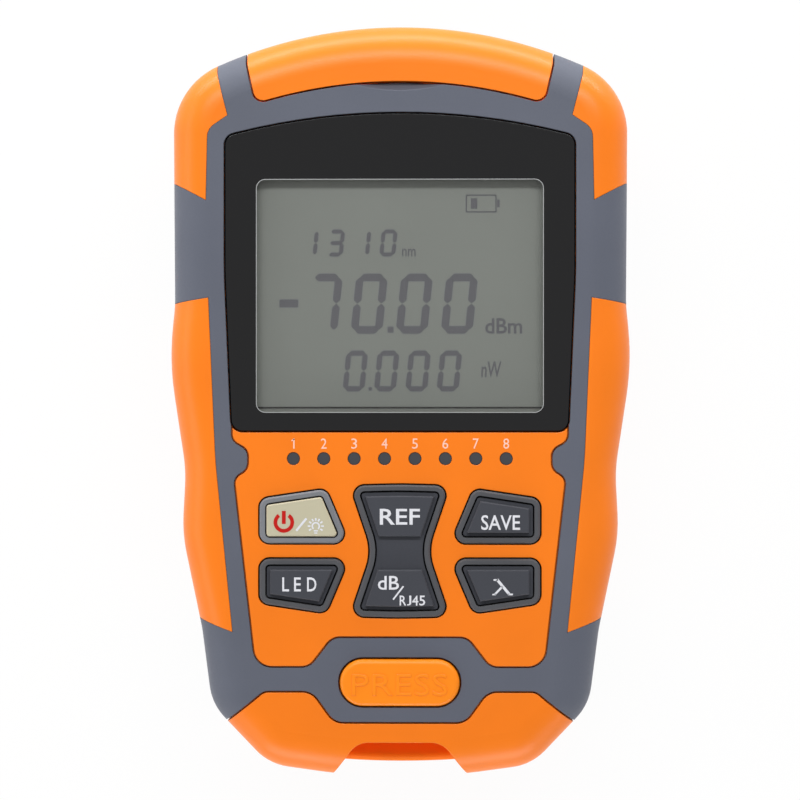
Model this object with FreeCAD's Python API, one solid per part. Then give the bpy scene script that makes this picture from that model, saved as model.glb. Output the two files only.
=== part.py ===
import FreeCAD, Part
import math
import os

# Handheld optical power meter with fault-finder laser, torch and cable tester.
# It lies on its back: X to the right, +Y towards the port end, +Z out of the display.
# Millimetres throughout. The origin is the middle of the back face.

V = FreeCAD.Vector

# ---------------------------------------------------------------- body envelope
thickness = 29.0
front_round = 6.5          # edge rounding towards the display side
back_round = 5.0           # edge rounding towards the back
rim_bevel = 0.6            # bevel of the hidden rims, as a share of the rounding outside them
parting_z = 15.0           # plane between the front and back shells

crown_y = 61.1             # top end, on the centre line
crown_radius = 73.7
crown_reach = 29.6         # half width over which the top arc runs
shoulder_half = 37.15
shoulder_round = 12.1
chest_half = 36.9
chest_y = 15.6
bulge_half = 37.85         # thumb bulge of the side grips
bulge_y = 6.5
bulge_round = 45.0
waist_half = 35.15
waist_y = -11.3
hip_half = 35.7
hip_y = -21.7
tail_half = 32.45
tail_y = -37.2
heel_half = 30.85
heel_y = -49.6
heel_round = 9.0
toe_half = 21.5
toe_y = -59.4
foot_y = -62.4             # where the two toe lines would meet
side_blend = 25.0          # radius that softens the slight turns of the sides

# ---------------------------------------------------------------- walls and fits
grip_skin = 1.2            # soft grip skin over the rigid shells
shell_wall = 2.0           # rigid wall under the skin
bond_gap = 0.02            # between skin and shell
seam = 0.05                # flush seam between skin and orange islands
groove = 0.3               # open groove round the keypad panel and the lobes
room_wall = 1.6            # walls round the inner rooms
part_gap = 0.3             # clearance between parts that move past each other
sit_gap = 0.15             # clearance round parts that are dropped in
thread_gap = 0.02          # round a screw's thread

# ---------------------------------------------------------------- display
lens_half = 28.3
lens_crown_y = 46.5
lens_crown_radius = 109.0
lens_crown_reach = 26.0
lens_foot_half = 27.2
lens_foot_y = -4.95
lens_round = 1.9
lens_top = 28.85
lens_thick = 1.6
tape_thick = 0.2
ledge_thick = 1.75
ledge_margin = 0.6         # the ledge ends this far outside the clear opening
ledge_lap = 1.2            # ledge beyond the window's edge
window_half = 23.2
window_top_y = 35.8
window_foot_y = -1.9
window_round = 1.5
foam_thick = 0.3
glass_margin = 1.6         # glass beyond the window on every side
glass_thick = 2.0
frame_wall = 1.2
frame_lip = 0.4
board_thick = 1.6
board_half = 26.6
backlight_thick = 2.0

# ---------------------------------------------------------------- keypad
panel_foot_y = -42.9
keypad_y = -24.2           # middle line between the two key rows
row_gap = 1.25             # half of the gap between the rows
key_outer_x = 22.6
key_inner_x = 8.2
key_slant_x = 11.9
key_outer_height = 8.4
key_slant_height = 10.0
key_round = 1.65
rocker_half = 7.95
rocker_waist = 4.4
rocker_height = 10.5       # from the middle line
rocker_waist_round = 8.0
rocker_crown = 0.2         # outward bow of the rocker's two ends
rocker_pads = ((1, 2.4), (-1, 3.0))   # row and nearest distance from the middle line of each raised pad
ring_gap = 0.25            # shell opening round a key ring
ring_width = 0.9
key_gap = 0.25             # between ring and cap
shoulder_width = 0.6       # low shoulder round a cap, the ground of the groove inside the ring
shoulder_drop = 0.9        # shoulder below the cap's top
cap_bevel = 0.15
ring_proud = 0.3
cap_proud = 0.8
rocker_drop = 0.5          # extra room above the rocker's foot for its swing
mat_thick = 1.2
key_travel = 0.8
key_foot_thick = 0.9
stem_radius = 1.6
dome_radius = 2.2
dome_height = 0.3
indicator_pitch = 4.9
indicator_y = -9.3
indicator_radius = 1.0
indicator_count = 8
led_height = 0.7

# ---------------------------------------------------------------- release button and cable-test remote
button_half = 9.65
button_height = 7.54
button_y = -45.4
button_proud = 0.6
button_travel = 1.2
button_wall = 1.4
button_flange = 1.8        # from the shell's inner face to the flange's underside
spring_radius = 2.6
spring_wire = 0.5
spring_turns = 3
latch_x = 5.6              # arms on both sides of the spring
latch_thick = 1.2
latch_width = 3.0
remote_half = 13.4
remote_end_y = -59.8
remote_inner_y = -27.0
remote_wall = 1.0
remote_round = 1.4
remote_end_radius = 144.0
rail_x = 9.5               # ribs inside the remote that carry its board
rail_half = 0.6
rail_near = 20.0           # from the remote's inner end
rail_far = 26.0
remote_board_half = 9.0
remote_board_up = 0.6      # above the joint of the two halves
remote_board_down = 0.8
bay_lid_thick = 1.0        # between the remote's bay and the board
board_clear = 0.1
scoop_half = 6.9
scoop_y = -55.1
scoop_flare = 0.715        # outward run of the scoop's sides for each unit of length
scoop_round = 3.6
bay_inner_y = -26.2
jack_half = 7.9
jack_height = 13.0
jack_length = 15.6
socket_half = 5.85
socket_height = 6.7
socket_depth = 13.0
socket_sill = 1.6          # below the latch slot
pin_count = 8
pin_pitch = 1.02
pin_half = 0.2
pin_inset = 4.5            # from both ends of the jack
pin_drop = 0.8
key_slot_half = 3.0
key_slot_height = 2.6

# ---------------------------------------------------------------- top cover and ports
cover_half = 23.2
cover_crown_y = 51.6
cover_crown_radius = 78.0
cover_crown_reach = 21.0
cover_shoulder_half = 24.7
cover_shoulder_y = 54.5
cover_round = 1.6
cover_wall = 2.0
cover_foot_z = 5.2
hinge_y = 58.7
hinge_z = 2.6
knuckle_radius = 1.7
pin_radius = 0.8
pin_fit = 0.05             # running fit of the cover on its pin
ear_half = 5.0
lug_width = 4.0
deck_wall = 2.0
port_floor = 2.4
port_floor_end_y = 56.3
port_z = 13.0
port_spacing = 14.0
ferrule_radius = 1.25
adapter_radius = 4.4
adapter_reach_y = 58.2
adapter_depth = 5.0
adapter_flange = 5.4
adapter_tail = 2.0         # barrel inside the deck
detector_radius = 2.7
detector_length = 3.2
detector_base = 3.1
detector_base_thick = 1.0
detector_leg = 0.25
detector_leg_length = 2.8
detector_leg_pitch = 1.2
carrier_half = 5.0
carrier_thick = 0.6
carrier_drop = 4.0         # below the port's axis
vfl_radius = 3.4
vfl_flange = 4.5
vfl_flange_thick = 1.0
sleeve_tail = 1.0          # sleeve inside the deck
vfl_reach_y = 56.4
vfl_depth = 5.1
torch_radius = 4.4
port_boss = 6.4            # boss round the power meter's port
side_boss = 5.5            # bosses round the other two
port_boss_out = 1.6        # how far they stand out of the deck
side_boss_out = 1.2
flange_thick = 1.2
nut_thick = 1.5
boss_inner = 0.3           # the bosses stand this far inside the deck
laser_radius = 4.2
laser_length = 18.5
laser_neck = 3.0
laser_neck_length = 1.5
saddle_half = 3.0
torch_depth = 6.0
torch_lip = 0.6            # reflector in front of its boss
torch_wall = 0.5
torch_throat = 1.4
torch_bowl = 5.2
torch_lens = 1.3           # rounded tip of the torch's light
torch_base_half = 4.0
nail_recess = 0.9          # shallow fingernail recess at the cover's edge
nail_radius = 26.6
nail_centre = 25.0         # beyond the cover's edge

# ---------------------------------------------------------------- batteries
cell_radius = 5.25
cell_length = 44.5
cell_count = 3
cell_bevel = 0.4
cell_nub = 1.9
cell_nub_length = 1.0
cell_pitch = 10.75
cells_y = 8.5
contact_space = 2.15       # between a cell and the end of its bay
bay_margin = 0.55          # beyond the outer cells
cell_lift = 0.25           # above the door
cell_clear = 0.3           # below the bay's roof
door_thick = 1.8
door_recess = 0.3
door_lap = 1.6             # door beyond the battery bay
door_rim = 2.2             # orange rim round the door
rim_round = 3.2
door_round = 2.0
tongue_x = 14.0            # tongues on both sides of the middle
tongue_half = 3.0
tongue_reach = 1.2
tongue_thick = 0.9
nail_pad_half = 9.5        # thumb recess of the door
nail_pad_length = 9.0
nail_pad_depth = 0.4
nail_pad_round = 1.5
rib_count = 5
rib_pitch = 1.6
rib_width = 0.8
contact_thick = 0.4
contact_leaf_width = 4.0
contact_half_width = 4.2
contact_half_height = 4.0
contact_button = 2.4
leaf_foot = 3.6            # half height of the bent leaf at its foot
leaf_tip = 0.6             # half height of its flat tip
leaf_thin = 0.6            # upright thickness of the leaf at its foot

# ---------------------------------------------------------------- screws
screw_radius = 1.25
screw_head_radius = 2.2
screw_head_thick = 1.5
screw_seat_z = 7.0
boss_radius = 2.7
upper_screw = (29.6, 42.3)
lower_screw = (18.6, -51.5)
board_screw_radius = 1.0
board_boss_radius = 1.9
board_screw_head = (1.8, 1.2)                       # radius and height
board_screws = ((24.9, 41.8), (23.6, -36.0))
screw_end = 1.5            # screw holes end this far below the shell's inner face
board_screw_end = 1.0
screw_short = 0.9          # screws end this far above the ground of their holes

# ---------------------------------------------------------------- levels worked out from the above
shell_inset = grip_skin + bond_gap
cavity_inset = grip_skin + shell_wall
inner_top = thickness - cavity_inset
tape_z = lens_top - lens_thick - tape_thick
ledge_z = tape_z - ledge_thick
frame_top = ledge_z - foam_thick
glass_z = frame_top - frame_lip - glass_thick
board_top = glass_z - backlight_thick
board_z = board_top - board_thick
bay_lid_z = board_z - board_clear
bay_roof_z = bay_lid_z - bay_lid_thick
remote_roof = bay_roof_z - part_gap
remote_floor = remote_roof - 2 * remote_wall - jack_height
door_seat_z = door_recess + door_thick + bond_gap
cell_z = door_seat_z + cell_lift + cell_radius
battery_roof = cell_z + cell_radius + cell_clear
bay_half = cell_length / 2 + contact_space
mat_z = inner_top - mat_thick
dome_top = board_top + dome_height
stem_z = dome_top + part_gap + key_travel
key_foot_top = mat_z - part_gap


# ================================================================ small makers
def joined(shapes):
    """One shape from several that touch or overlap."""
    first, rest = shapes[0], shapes[1:]
    return first.multiFuse(rest).removeSplitter() if rest else first


def block(x0, x1, y0, y1, z0, z1):
    """A box between two opposite corners."""
    return Part.makeBox(x1 - x0, y1 - y0, z1 - z0, V(x0, y0, z0))


def post(x, y, z0, z1, radius):
    """An upright cylinder."""
    return Part.makeCylinder(radius, z1 - z0, V(x, y, z0), V(0, 0, 1))


def rod_y(x, z, y0, y1, radius):
    """A cylinder along Y."""
    return Part.makeCylinder(radius, y1 - y0, V(x, y0, z), V(0, 1, 0))


def rod_x(y, z, x0, x1, radius):
    """A cylinder along X."""
    return Part.makeCylinder(radius, x1 - x0, V(x0, y, z), V(1, 0, 0))


def mirrored(corners):
    """The corners of a right half, followed by those of its mirror image."""
    return corners + [(-x, y, r) for x, y, r in reversed(corners) if abs(x) > 1e-6]


def anticlockwise(corners):
    """The same corners, in anticlockwise order."""
    area = 0.0
    for (ax, ay, _), (bx, by, _) in zip(corners, corners[1:] + corners[:1]):
        area += ax * by - bx * ay
    return corners if area > 0 else corners[::-1]


def directions(corners, i):
    """Unit directions into and out of corner i, and the lengths of its two sides."""
    ax, ay, _ = corners[i - 1]
    bx, by, _ = corners[i]
    cx, cy, _ = corners[(i + 1) % len(corners)]
    before, after = V(bx - ax, by - ay, 0), V(cx - bx, cy - by, 0)
    lengths = before.Length, after.Length
    before.normalize()
    after.normalize()
    return before, after, lengths


def fitted(corners):
    """Corners in anticlockwise order, with each radius limited by its two sides."""
    corners = anticlockwise(corners)
    count = len(corners)
    halves, reach, sides = [], [], []
    for i in range(count):
        before, after, lengths = directions(corners, i)
        half = before.getAngle(after) / 2
        halves.append(half)
        reach.append(corners[i][2] * math.tan(half))
        sides.append(lengths)
    result = []
    for i, (x, y, radius) in enumerate(corners):
        room = 1.0
        for j, length in ((i - 1, sides[i][0]), ((i + 1) % count, sides[i][1])):
            if reach[i] + reach[j] > 0.999 * length:
                room = min(room, 0.999 * length / (reach[i] + reach[j]))
        result.append((x, y, radius * room))
    return result


def inset(corners, distance):
    """Corners of the parallel outline that lies inside by the given distance."""
    corners = fitted(corners)
    result = []
    for i, (x, y, radius) in enumerate(corners):
        before, after, _ = directions(corners, i)
        left_before, left_after = V(-before.y, before.x, 0), V(-after.y, after.x, 0)
        turn = before.x * after.y - before.y * after.x
        shift = (left_before + left_after) * (distance / (1 + left_before.dot(left_after)))
        new_radius = radius - distance if turn > 0 else radius + distance
        result.append((x + shift.x, y + shift.y, max(new_radius, 0.0) if radius > 0 else 0.0))
    return result


def outline_wire(corners):
    """A closed wire of straight runs joined by tangent arcs."""
    corners = fitted(corners)
    spans = []
    for i, (x, y, radius) in enumerate(corners):
        before, after, _ = directions(corners, i)
        here = V(x, y, 0)
        half = before.getAngle(after) / 2
        if radius < 1e-4 or half < 1e-6:
            spans.append((here, None, here))
            continue
        reach = radius * math.tan(half)
        inward = after - before
        inward.normalize()
        centre = here + inward * (radius / math.cos(half))
        spans.append((here - before * reach, centre - inward * radius, here + after * reach))
    edges = []
    for i, (start, middle, end) in enumerate(spans):
        if middle is not None:
            edges.append(Part.Arc(start, middle, end).toShape())
        following = spans[(i + 1) % len(spans)][0]
        if (following - end).Length > 1e-5:
            edges.append(Part.LineSegment(end, following).toShape())
    return Part.Wire(edges)


def prism(corners, z0, z1, distance=0.0):
    """An outline, moved inwards by a distance, raised from z0 to z1."""
    face = Part.Face(outline_wire(inset(corners, distance) if distance else corners))
    solid = face.extrude(V(0, 0, z1 - z0))
    solid.translate(V(0, 0, z0))
    return solid


def plate(x0, x1, y0, y1, z0, z1, radius):
    """A plate with rounded upright corners."""
    return prism([(x0, y0, radius), (x1, y0, radius), (x1, y1, radius), (x0, y1, radius)], z0, z1)


def rim_edges(shape, z):
    """Edges that lie flat at height z."""
    return [e for e in shape.Edges if abs(e.BoundBox.ZMin - z) < 1e-3 and abs(e.BoundBox.ZMax - z) < 1e-3]


def softened(shape, z, radius):
    """The shape with the edges at height z rounded."""
    return shape.makeFillet(radius, rim_edges(shape, z))


def bevelled(shape, z, size):
    """The shape with the edges at height z bevelled."""
    return shape.makeChamfer(size, rim_edges(shape, z))


def arch(crown, radius, reach, half):
    """Corner of an arch on the centre line, and the height of its legs at the half width."""
    slope = math.asin(reach / radius)
    apex = crown + radius * (1 / math.cos(slope) - 1)
    return (0.0, apex, radius), apex - half * math.tan(slope)


# ================================================================ outlines seen from the front
def body_outline():
    top, shoulder_y = arch(crown_y, crown_radius, crown_reach, shoulder_half)
    right = [
        (toe_half, toe_y, heel_round), (heel_half, heel_y, heel_round), (tail_half, tail_y, side_blend),
        (hip_half, hip_y, side_blend), (waist_half, waist_y, side_blend), (bulge_half, bulge_y, bulge_round),
        (chest_half, chest_y, side_blend), (shoulder_half, shoulder_y, shoulder_round), top]
    return [(0.0, foot_y, 100.0)] + mirrored(right)


def lens_outline():
    top, corner_y = arch(lens_crown_y, lens_crown_radius, lens_crown_reach, lens_half)
    return mirrored([(lens_foot_half, lens_foot_y, lens_round),
                     (lens_half, (lens_foot_y + lens_crown_y) / 2, 120.0),
                     (lens_half, corner_y, lens_round), top])


def cover_outline():
    """The top cover in plan; its upper edge runs past the body."""
    foot, corner_y = arch(cover_crown_y, cover_crown_radius, cover_crown_reach, cover_half)
    past = crown_y + 6.0
    right = [(cover_shoulder_half + 0.8, past, 0.0), (cover_shoulder_half, cover_shoulder_y, 3.0),
             (cover_half, corner_y, cover_round), foot]
    return mirrored(right)


def upper_island():
    """Orange island at the right shoulder, open past the side."""
    past = shoulder_half + 8.0
    return [(30.7, crown_y + 1.0, 0.0), (29.6, 53.0, 4.0), (27.8, 46.1, 0.0), (31.05, 43.9, 2.5),
            (31.3, 32.4, 0.0), (past, 39.9, 0.0), (past, crown_y + 1.0, 0.0)]


def lower_island():
    """Orange thumb grip on the right side, open past the side."""
    past = bulge_half + 7.0
    return [(past, 14.6, 0.0), (30.9, 16.7, 0.0), (29.75, -9.5, 80.0), (27.0, -37.3, 0.0), (past, -31.1, 0.0)]


def foot_lobes():
    """Orange foot of the shells, open past the end."""
    past = foot_y - 4.0
    return mirrored([(40.0, past, 0.0), (34.0, -56.8, 0.0), (21.9, -46.9, 2.0),
                     (14.2, -46.9, 3.0), (10.6, -51.9, 3.0)])


def keypad_panel():
    """Orange keypad panel with a tab of the skin let in on each side."""
    return mirrored([
        (10.9, -38.1, 2.6), (14.6, panel_foot_y, 2.6), (23.3, panel_foot_y, 3.0), (26.75, -12.4, 1.8),
        (24.5, -11.1, 1.9), (24.45, -7.9, 1.9), (27.1, -6.4, 1.8), (27.1, lens_foot_y + 2.5, 0.0)])


def corner_key(side, row):
    """One of the four corner keys; side and row are +1 or -1."""
    return [(side * key_inner_x, keypad_y + row * row_gap, key_round),
            (side * key_outer_x, keypad_y + row * row_gap, key_round),
            (side * key_outer_x, keypad_y + row * key_outer_height, key_round),
            (side * key_slant_x, keypad_y + row * key_slant_height, key_round)]


def rocker_outline():
    low, high = keypad_y - rocker_height, keypad_y + rocker_height
    return [(0.0, low - rocker_crown, 80.0)] + mirrored([
        (rocker_half, low, key_round), (rocker_waist, keypad_y, rocker_waist_round),
        (rocker_half, high, key_round), (0.0, high + rocker_crown, 80.0)])


def button_outline():
    radius = button_height / 2 - 0.05
    return mirrored([(button_half, button_y - button_height / 2, radius),
                     (button_half, button_y + button_height / 2, radius)])


def scoop_outline():
    past = foot_y - 4.0
    return mirrored([(scoop_half + (scoop_y - past) * scoop_flare, past, 0.0),
                     (scoop_half, scoop_y, scoop_round)])


corner_keys = {"key_power": (-1, 1), "key_led": (-1, -1), "key_save": (1, 1), "key_wavelength": (1, -1)}


# ================================================================ body volumes
def body_volume():
    """The whole body, with its rounded edges."""
    solid = prism(body_outline(), 0.0, thickness)
    solid = softened(solid, thickness, front_round)
    return softened(solid, 0.0, back_round)


def inner_volume(distance):
    """The body moved inwards by a distance, with bevels where the outside is rounded."""
    low, high = distance, thickness - distance
    solid = prism(body_outline(), low, high, distance)
    solid = bevelled(solid, high, (front_round - distance) * rim_bevel)
    return bevelled(solid, low, (back_round - distance) * rim_bevel)


def skin_windows(distance, z0, z1):
    """Places where the orange shell stands level with the skin, each moved inwards by a distance."""
    shapes = []
    for island in (upper_island(), lower_island()):
        shapes.append(prism(island, z0, z1, distance))
        shapes.append(prism([(-x, y, r) for x, y, r in island], z0, z1, distance))
    return shapes


def cells_half_span():
    return cell_pitch * (cell_count - 1) / 2 + cell_radius + bay_margin


def battery_room(grow=0.0):
    span = cells_half_span() + grow
    half = bay_half + grow
    return block(-half, half, cells_y - span, cells_y + span, -1.0, battery_roof + grow)


def remote_room(grow=0.0):
    half = remote_half + part_gap + 0.1 + grow
    floor = remote_floor - part_gap - grow
    roof = bay_lid_z if grow else bay_roof_z
    return block(-half, half, foot_y - 4.0, bay_inner_y + grow, floor, roof)


def port_room(grow=0.0):
    """The room under the top cover."""
    return prism(cover_outline(), port_floor, thickness + 1.0, -part_gap - grow)


def hinge_clearance():
    """Room behind the end of the port floor, where the cover's wall swings."""
    cut = prism(cover_outline(), -1.0, port_floor + 0.01, -part_gap)
    return cut.common(block(-40, 40, port_floor_end_y, crown_y + 5, -2, port_floor + 1))


def jack_room():
    """Way from the remote's bay to the main socket."""
    return block(-jack_half - sit_gap, jack_half + sit_gap, bay_inner_y - 1.0, bay_inner_y + room_wall + 1.0,
                 board_z - jack_height - sit_gap, board_z)


def port_bosses():
    """Bosses of the port deck, each with its place, radius and reach."""
    places = ((0.0, port_boss, port_boss_out), (-port_spacing, side_boss, side_boss_out),
              (port_spacing, side_boss, side_boss_out))
    return [rod_y(x, port_z, deck_y(x) - deck_wall - boss_inner, deck_y(x) + out, radius)
            for x, radius, out in places]


def deck_y(x):
    """The port deck's outer face at a distance from the centre line."""
    radius = cover_crown_radius - part_gap
    return cover_crown_y - part_gap - radius + math.sqrt(radius ** 2 - x ** 2)


def port_holes():
    bores = ((0.0, adapter_radius), (-port_spacing, vfl_radius), (port_spacing, torch_radius))
    return [rod_y(x, port_z, deck_y(x) - 8.0, deck_y(x) + 8.0, radius + sit_gap) for x, radius in bores]


def screw_places():
    for x, y in (upper_screw, lower_screw):
        yield x, y
        yield -x, y


def board_screw_places():
    for x, y in board_screws:
        yield x, y
        yield -x, y


def shell_casting(windows):
    """Both shells as one casting, before it is parted."""
    lands = joined(windows).common(body_volume())
    casting = joined([inner_volume(shell_inset), lands])
    cavity = inner_volume(cavity_inset).cut(joined([battery_room(room_wall), remote_room(room_wall)]))
    cavity = cavity.cut(port_room(deck_wall))
    return casting.cut(cavity)


def openings_common():
    """Rooms cut through both shells."""
    return [remote_room(), port_room(), hinge_clearance(), prism(scoop_outline(), -1.0, thickness + 1.0)]


def key_outlines():
    outlines = [corner_key(*place) for place in corner_keys.values()]
    return outlines + [rocker_outline()]


# ================================================================ shells
def half_space(z0, z1):
    return block(-60, 60, -80, 80, z0, z1)


def make_front_shell(windows):
    panel = prism(keypad_panel(), parting_z, thickness + 1, groove / 2)
    lobes = prism(foot_lobes(), parting_z, thickness + 1, groove / 2)
    upper = half_space(parting_z, thickness + 1)
    casting = shell_casting(windows + [panel, lobes]).common(upper)
    ledge = prism(lens_outline(), ledge_z, thickness - grip_skin, -ledge_lap)
    ledge = ledge.common(inner_volume(cavity_inset - 0.5))
    bosses = []
    for x, y in screw_places():
        bosses.append(post(x, y, parting_z, inner_top + 0.5, boss_radius))
    for x, y in board_screw_places():
        bosses.append(post(x, y, board_top, inner_top + 0.5, board_boss_radius))
    for boss in port_bosses():
        bosses.append(boss.common(upper))
    well = prism(button_outline(), bay_lid_z - 0.5, inner_top + 0.5, -part_gap - 2.4)
    well = well.cut(prism(button_outline(), bay_lid_z - 1, thickness, -part_gap - 1.2))
    shell = joined([casting, ledge] + bosses + [well.common(inner_volume(shell_inset))])
    cuts = openings_common() + port_holes() + [jack_room()]
    cuts.append(prism(lens_outline(), tape_z, thickness + 1, -sit_gap))
    cuts.append(plate(*window_plan(ledge_margin), ledge_z - 1, tape_z + 1, window_round))
    for outline in key_outlines():
        cuts.append(prism(outline, parting_z, thickness + 1, -ring_gap))
    for x in indicator_places():
        cuts.append(post(x, indicator_y, parting_z, thickness + 1, indicator_radius + sit_gap / 3))
    cuts.append(prism(button_outline(), bay_lid_z, thickness + 1, -part_gap))
    for x, y in screw_places():
        cuts.append(post(x, y, parting_z - 1, inner_top - screw_end, screw_radius + thread_gap))
    for x, y in board_screw_places():
        cuts.append(post(x, y, board_top - 1, inner_top - board_screw_end, board_screw_radius + thread_gap))
    cuts += latch_arms(bay_roof_z - 1, bay_lid_z + 1, part_gap)
    return shell.cut(joined(cuts))


def latch_arms(z0, z1, clearance=0.0):
    """The button's two latch arms, or with a clearance the slots that they pass through."""
    half_x = latch_thick / 2 + clearance
    half_y = latch_width / 2 + clearance
    return [block(s * latch_x - half_x, s * latch_x + half_x, button_y - half_y, button_y + half_y, z0, z1)
            for s in (-1, 1)]


def make_front_skin(windows):
    skin = body_volume().cut(inner_volume(grip_skin)).common(half_space(parting_z, thickness + 1))
    cuts = list(windows)
    cuts.append(prism(keypad_panel(), parting_z, thickness + 1, -groove / 2))
    cuts.append(prism(foot_lobes(), parting_z - 1, thickness + 1, -groove / 2))
    cuts.append(prism(lens_outline(), parting_z, thickness + 1, -sit_gap))
    cuts.append(port_room())
    cuts.append(prism(button_outline(), parting_z, thickness + 1, -part_gap))
    cuts.append(Part.makeCone(nail_radius - nail_recess, nail_radius, nail_recess,
                              V(0, cover_crown_y + nail_centre, thickness - nail_recess)))
    return skin.cut(joined(cuts))


def door_plan():
    span = cells_half_span() + door_lap
    half = bay_half + door_lap
    return -half, half, cells_y - span, cells_y + span


def make_hinge_ear():
    """Ear at the end of the port floor that holds the cover's pin."""
    web = block(-ear_half, ear_half, port_floor_end_y - 2, hinge_y, shell_inset, hinge_z + 1.0)
    ear = joined([web, rod_x(hinge_y, hinge_z, -ear_half, ear_half, knuckle_radius)])
    return ear.cut(rod_x(hinge_y, hinge_z, -ear_half - 1, ear_half + 1, pin_radius))


def make_back_shell(windows):
    lobes = prism(foot_lobes(), -1, parting_z, groove / 2)
    lower = half_space(-1, parting_z)
    casting = shell_casting(windows + [lobes]).common(lower)
    x0, x1, y0, y1 = door_plan()
    rim = door_rim
    solids = [casting, plate(x0 - rim, x1 + rim, y0 - rim, y1 + rim, 0.0, door_seat_z + 1.0, rim_round)]
    for x, y in screw_places():
        solids.append(post(x, y, shell_inset + 0.2, parting_z, screw_head_radius + 1.5))
    for boss in port_bosses():
        solids.append(boss.common(lower))
    cuts = [remote_room(), port_room(), hinge_clearance(), battery_room(), jack_room()]
    cuts.append(prism(scoop_outline(), -1.0, thickness))
    cuts += port_holes()
    cuts.append(plate(x0 - part_gap, x1 + part_gap, y0 - part_gap, y1 + part_gap, -1, door_seat_z,
                      door_round + part_gap))
    cuts.append(door_tongue_slots())
    for x, y in screw_places():
        cuts.append(post(x, y, -1, screw_seat_z, screw_head_radius + sit_gap))
        cuts.append(post(x, y, -1, parting_z + 1, screw_radius + sit_gap))
    return joined([joined(solids).cut(joined(cuts)), make_hinge_ear()])


def make_back_skin(windows):
    skin = body_volume().cut(inner_volume(grip_skin)).common(half_space(-1, parting_z))
    cuts = list(windows)
    cuts.append(prism(foot_lobes(), -1, parting_z + 1, -groove / 2))
    x0, x1, y0, y1 = door_plan()
    rim = door_rim + bond_gap
    cuts.append(plate(x0 - rim, x1 + rim, y0 - rim, y1 + rim, -1, grip_skin + 0.1, rim_round))
    cuts.append(port_room())
    cuts.append(hinge_clearance())
    for x, y in screw_places():
        cuts.append(post(x, y, -1, grip_skin + 1, screw_head_radius + sit_gap))
    return skin.cut(joined(cuts))


# ================================================================ top cover
def make_top_cover():
    hood = body_volume().cut(inner_volume(cover_wall))
    hood = hood.common(prism(cover_outline(), cover_foot_z, thickness + 1))
    lugs = []
    for side in (-1, 1):
        x0 = ear_half + part_gap if side > 0 else -ear_half - part_gap - lug_width
        knuckle = rod_x(hinge_y, hinge_z, x0, x0 + lug_width, knuckle_radius)
        web = block(x0, x0 + lug_width, hinge_y, hinge_y + knuckle_radius, hinge_z, cover_foot_z + 2.5)
        lugs += [knuckle, web]
    cover = joined([hood] + lugs)
    return cover.cut(rod_x(hinge_y, hinge_z, -20, 20, pin_radius + pin_fit))


def make_hinge_pin():
    end = ear_half + part_gap + lug_width
    return rod_x(hinge_y, hinge_z, -end, end, pin_radius)


# ================================================================ display
def window_plan(margin):
    return (-window_half - margin, window_half + margin, window_foot_y - margin, window_top_y + margin)


def ring_plate(outer, inner, z0, z1, radius):
    """A flat rectangular ring; outer and inner are margins beyond the window."""
    hole = plate(*window_plan(inner), z0 - 1, z1 + 1, max(radius - outer + inner, 0.3))
    return plate(*window_plan(outer), z0, z1, radius).cut(hole)


def make_display_window():
    pane = prism(lens_outline(), tape_z + tape_thick, lens_top)
    return bevelled(pane, lens_top, 0.2)


def make_lens_tape():
    ring = prism(lens_outline(), tape_z, tape_z + tape_thick, 0.8)
    return ring.cut(plate(*window_plan(ledge_margin), tape_z - 1, tape_z + 1, window_round))


def make_lcd_frame():
    outer = glass_margin + sit_gap + frame_wall
    body = ring_plate(outer, glass_margin + sit_gap, board_top, frame_top, 1.5)
    lip = ring_plate(outer, ledge_margin, frame_top - frame_lip, frame_top, 1.5)
    return joined([body, lip])


def make_lcd_gasket():
    return ring_plate(glass_margin + frame_wall, 0.8, frame_top, ledge_z, 1.5)


def make_lcd_glass():
    return plate(*window_plan(glass_margin), glass_z, glass_z + glass_thick, 0.4)


def make_lcd_backlight():
    return plate(*window_plan(glass_margin), board_top, glass_z, 0.4)


# ================================================================ keypad
def indicator_places():
    first = -indicator_pitch * (indicator_count - 1) / 2
    return [first + i * indicator_pitch for i in range(indicator_count)]


def make_keypad_mat():
    reach_x = key_outer_x + 1.6
    reach_y = rocker_height + 1.6
    mat = plate(-reach_x, reach_x, keypad_y - reach_y, keypad_y + reach_y, mat_z, inner_top, 2.0)
    ring_top = thickness + ring_proud
    rings = [bevelled(prism(o, mat_z, ring_top), ring_top, 0.25) for o in key_outlines()]
    holes = [prism(o, mat_z - 1, thickness + 2, ring_width) for o in key_outlines()]
    places = [post(x, y, mat_z - 1, inner_top + 0.1, board_boss_radius + sit_gap)
              for x, y in board_screw_places()]
    return joined([mat] + rings).cut(joined(holes + places))


def make_corner_key(side, row):
    """A key with its foot, stem and low shoulder; the lit power key has none and fills its ring."""
    outline = corner_key(side, row)
    inside = ring_width + key_gap
    top = thickness + cap_proud
    solids = []
    if (side, row) == corner_keys["key_power"]:
        solids.append(bevelled(prism(outline, key_foot_top - key_foot_thick, top, inside), top, cap_bevel))
    else:
        shoulder = top - shoulder_drop
        solids.append(prism(outline, key_foot_top - key_foot_thick, shoulder, inside))
        solids.append(bevelled(prism(outline, shoulder - 0.5, top, inside + shoulder_width), top, cap_bevel))
    solids.append(prism(outline, key_foot_top - key_foot_thick, key_foot_top, ring_width / 2))
    x, y = key_centre(outline)
    solids.append(post(x, y, stem_z, key_foot_top, stem_radius))
    return joined(solids)


def key_centre(outline):
    return sum(c[0] for c in outline) / len(outline), sum(c[1] for c in outline) / len(outline)


def rocker_stems():
    return [(0.0, keypad_y + row * rocker_height * 0.62) for row in (-1, 1)]


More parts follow.
